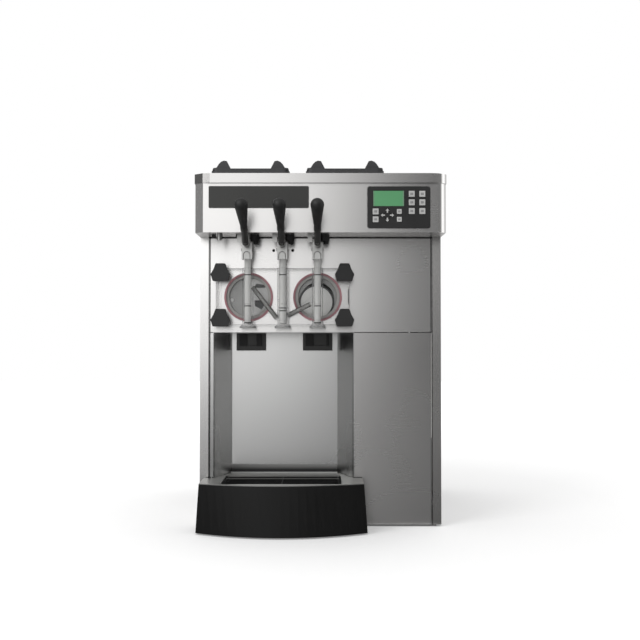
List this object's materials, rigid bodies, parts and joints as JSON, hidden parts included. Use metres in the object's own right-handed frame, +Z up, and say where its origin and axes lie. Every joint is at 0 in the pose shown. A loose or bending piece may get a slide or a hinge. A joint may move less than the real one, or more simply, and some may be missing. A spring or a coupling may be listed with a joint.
{
  "type": "soft-serve ice cream machine",
  "caption": "Countertop soft-serve machine: steel cabinet with a projecting head, clear dispensing door, draw levers, hoppers under black covers and a drip tray.",
  "frame": {"origin": "middle of the base pan's underside, on the surface that the machine stands on", "axes": "+Z up, +Y to the back, +X to the viewer's right when facing the levers"},
  "size_m": [0.661, 0.8908, 0.992],
  "materials": {
    "stainless": "fine horizontal brush",
    "lever_steel": "satin",
    "frame_steel": "satin",
    "plate_black": "satin",
    "bezel_dark": "satin",
    "display_green": "gloss",
    "key_grey": "satin",
    "black_plastic": "fine texture",
    "rubber_black": "matte",
    "barrel_metal": "satin",
    "auger_steel": "satin",
    "motor_grey": "satin",
    "compressor_black": "gloss",
    "fin_aluminium": "mill",
    "fan_grey": "matte",
    "clear_door": "clear polished",
    "seal_red": "matte",
    "valve_white": "satin"
  },
  "bodies": {
    "cabinet": {"chassis_frame": "frame_steel", "left_side_panel": "stainless", "right_side_panel": "stainless", "back_panel": "stainless", "front_panel": "stainless", "service_panel": "stainless", "recess_liner": "stainless", "head_shroud": "stainless", "top_cap": "stainless", "nameplate": "plate_black", "control_bezel": "bezel_dark", "display_window": "display_green", "cord_gland": "black_plastic", "fasteners": "lever_steel", "hoppers": "stainless", "freezing_barrels": "barrel_metal", "drive_motors": "motor_grey", "compressor": "compressor_black", "condenser": "fin_aluminium", "dispensing_door": "clear_door", "door_seals": "seal_red", "lever_brackets": "lever_steel", "lever_bumpers": "rubber_black"},
    "left_cover": {"left_hopper_cover": "black_plastic"},
    "right_cover": {"right_hopper_cover": "black_plastic"},
    "left_dasher": {"left_auger": "auger_steel"},
    "right_dasher": {"right_auger": "auger_steel"},
    "fan": {"condenser_fan": "fan_grey"},
    "left_handle": {"left_lever": "lever_steel", "left_grip": "black_plastic"},
    "left_valve": {"left_plunger": "valve_white"},
    "middle_handle": {"middle_lever": "lever_steel", "middle_grip": "black_plastic"},
    "middle_valve": {"middle_plunger": "valve_white"},
    "right_handle": {"right_lever": "lever_steel", "right_grip": "black_plastic"},
    "right_valve": {"right_plunger": "valve_white"},
    "nut_top_left": {"knob_top_left": "black_plastic"},
    "nut_top_right": {"knob_top_right": "black_plastic"},
    "nut_bottom_left": {"knob_bottom_left": "black_plastic"},
    "nut_bottom_right": {"knob_bottom_right": "black_plastic"},
    "drip_tray": {"drip_pan": "stainless", "drip_apron": "black_plastic"},
    "drip_rack": {"drip_grid": "black_plastic"},
    "left_drawer": {"left_drip_drawer": "black_plastic"},
    "right_drawer": {"right_drip_drawer": "black_plastic"},
    "key_function_1_cap": {"key_function_1": "key_grey"},
    "key_function_2_cap": {"key_function_2": "key_grey"},
    "key_function_3_cap": {"key_function_3": "key_grey"},
    "key_function_4_cap": {"key_function_4": "key_grey"},
    "key_function_5_cap": {"key_function_5": "key_grey"},
    "key_function_6_cap": {"key_function_6": "key_grey"},
    "key_menu_1_cap": {"key_menu_1": "key_grey"},
    "key_menu_2_cap": {"key_menu_2": "key_grey"},
    "key_select_1_cap": {"key_select_1": "key_grey"},
    "key_select_2_cap": {"key_select_2": "key_grey"},
    "key_up_cap": {"key_up": "key_grey"},
    "key_down_cap": {"key_down": "key_grey"},
    "key_left_cap": {"key_left": "key_grey"},
    "key_right_cap": {"key_right": "key_grey"}
  },
  "joints": [
    {"name": "left_cover_lift", "type": "slide", "parent": "cabinet", "child": "left_cover", "axis": [0, 0, 1], "range_m": [0, 0.15]},
    {"name": "right_cover_lift", "type": "slide", "parent": "cabinet", "child": "right_cover", "axis": [0, 0, 1], "range_m": [0, 0.15]},
    {"name": "left_auger_spin", "type": "hinge", "parent": "cabinet", "child": "left_dasher", "pos_m": [-0.196, 0, 0.6235], "axis": [0, 1, 0], "continuous": true},
    {"name": "right_auger_spin", "type": "hinge", "parent": "cabinet", "child": "right_dasher", "pos_m": [-0.008, 0, 0.6235], "axis": [0, 1, 0], "continuous": true},
    {"name": "fan_spin", "type": "hinge", "parent": "cabinet", "child": "fan", "pos_m": [0.225, 0, 0.215], "axis": [1, 0, 0], "continuous": true},
    {"name": "left_handle_pull", "type": "hinge", "parent": "cabinet", "child": "left_handle", "pos_m": [-0.196, -0.36255, 0.74821], "axis": [1, 0, 0], "range_deg": [0, 40]},
    {"name": "left_valve_lift", "type": "slide", "parent": "cabinet", "child": "left_valve", "axis": [0, 0, 1], "range_m": [0, 0.01662]},
    {"name": "middle_handle_pull", "type": "hinge", "parent": "cabinet", "child": "middle_handle", "pos_m": [-0.102, -0.36255, 0.74821], "axis": [1, 0, 0], "range_deg": [0, 40]},
    {"name": "middle_valve_lift", "type": "slide", "parent": "cabinet", "child": "middle_valve", "axis": [0, 0, 1], "range_m": [0, 0.01662]},
    {"name": "right_handle_pull", "type": "hinge", "parent": "cabinet", "child": "right_handle", "pos_m": [-0.008, -0.36255, 0.74821], "axis": [1, 0, 0], "range_deg": [0, 40]},
    {"name": "right_valve_lift", "type": "slide", "parent": "cabinet", "child": "right_valve", "axis": [0, 0, 1], "range_m": [0, 0.01662]},
    {"name": "nut_top_left_turn", "type": "hinge", "parent": "cabinet", "child": "nut_top_left", "pos_m": [-0.2685, -0.345, 0.688], "axis": [0, 1, 0], "continuous": true},
    {"name": "nut_top_right_turn", "type": "hinge", "parent": "cabinet", "child": "nut_top_right", "pos_m": [0.0645, -0.345, 0.688], "axis": [0, 1, 0], "continuous": true},
    {"name": "nut_bottom_left_turn", "type": "hinge", "parent": "cabinet", "child": "nut_bottom_left", "pos_m": [-0.2685, -0.345, 0.566], "axis": [0, 1, 0], "continuous": true},
    {"name": "nut_bottom_right_turn", "type": "hinge", "parent": "cabinet", "child": "nut_bottom_right", "pos_m": [0.0645, -0.345, 0.566], "axis": [0, 1, 0], "continuous": true},
    {"name": "drip_tray_slide", "type": "slide", "parent": "cabinet", "child": "drip_tray", "axis": [0, -1, 0], "range_m": [0, 0.2]},
    {"name": "drip_grid_lift", "type": "slide", "parent": "drip_tray", "child": "drip_rack", "axis": [0, 0, 1], "range_m": [0, 0.1]},
    {"name": "left_drawer_slide", "type": "slide", "parent": "cabinet", "child": "left_drawer", "axis": [0, -1, 0], "range_m": [0, 0.12]},
    {"name": "right_drawer_slide", "type": "slide", "parent": "cabinet", "child": "right_drawer", "axis": [0, -1, 0], "range_m": [0, 0.12]},
    {"name": "key_function_1_press", "type": "slide", "parent": "cabinet", "child": "key_function_1_cap", "axis": [0, 1, 0], "range_m": [0, 0.0006], "stiffness_N_per_m": 600, "springref_m": -0.0002},
    {"name": "key_function_2_press", "type": "slide", "parent": "cabinet", "child": "key_function_2_cap", "axis": [0, 1, 0], "range_m": [0, 0.0006], "stiffness_N_per_m": 600, "springref_m": -0.0002},
    {"name": "key_function_3_press", "type": "slide", "parent": "cabinet", "child": "key_function_3_cap", "axis": [0, 1, 0], "range_m": [0, 0.0006], "stiffness_N_per_m": 600, "springref_m": -0.0002},
    {"name": "key_function_4_press", "type": "slide", "parent": "cabinet", "child": "key_function_4_cap", "axis": [0, 1, 0], "range_m": [0, 0.0006], "stiffness_N_per_m": 600, "springref_m": -0.0002},
    {"name": "key_function_5_press", "type": "slide", "parent": "cabinet", "child": "key_function_5_cap", "axis": [0, 1, 0], "range_m": [0, 0.0006], "stiffness_N_per_m": 600, "springref_m": -0.0002},
    {"name": "key_function_6_press", "type": "slide", "parent": "cabinet", "child": "key_function_6_cap", "axis": [0, 1, 0], "range_m": [0, 0.0006], "stiffness_N_per_m": 600, "springref_m": -0.0002},
    {"name": "key_menu_1_press", "type": "slide", "parent": "cabinet", "child": "key_menu_1_cap", "axis": [0, 1, 0], "range_m": [0, 0.0006], "stiffness_N_per_m": 600, "springref_m": -0.0002},
    {"name": "key_menu_2_press", "type": "slide", "parent": "cabinet", "child": "key_menu_2_cap", "axis": [0, 1, 0], "range_m": [0, 0.0006], "stiffness_N_per_m": 600, "springref_m": -0.0002},
    {"name": "key_select_1_press", "type": "slide", "parent": "cabinet", "child": "key_select_1_cap", "axis": [0, 1, 0], "range_m": [0, 0.0006], "stiffness_N_per_m": 600, "springref_m": -0.0002},
    {"name": "key_select_2_press", "type": "slide", "parent": "cabinet", "child": "key_select_2_cap", "axis": [0, 1, 0], "range_m": [0, 0.0006], "stiffness_N_per_m": 600, "springref_m": -0.0002},
    {"name": "key_up_press", "type": "slide", "parent": "cabinet", "child": "key_up_cap", "axis": [0, 1, 0], "range_m": [0, 0.0006], "stiffness_N_per_m": 600, "springref_m": -0.0002},
    {"name": "key_down_press", "type": "slide", "parent": "cabinet", "child": "key_down_cap", "axis": [0, 1, 0], "range_m": [0, 0.0006], "stiffness_N_per_m": 600, "springref_m": -0.0002},
    {"name": "key_left_press", "type": "slide", "parent": "cabinet", "child": "key_left_cap", "axis": [0, 1, 0], "range_m": [0, 0.0006], "stiffness_N_per_m": 600, "springref_m": -0.0002},
    {"name": "key_right_press", "type": "slide", "parent": "cabinet", "child": "key_right_cap", "axis": [0, 1, 0], "range_m": [0, 0.0006], "stiffness_N_per_m": 600, "springref_m": -0.0002}
  ],
  "couplings": [
    {"joint": "left_valve_lift", "follows": "left_handle_pull", "m_per_rad": 0.023516},
    {"joint": "middle_valve_lift", "follows": "middle_handle_pull", "m_per_rad": 0.023516},
    {"joint": "right_valve_lift", "follows": "right_handle_pull", "m_per_rad": 0.023516}
  ]
}
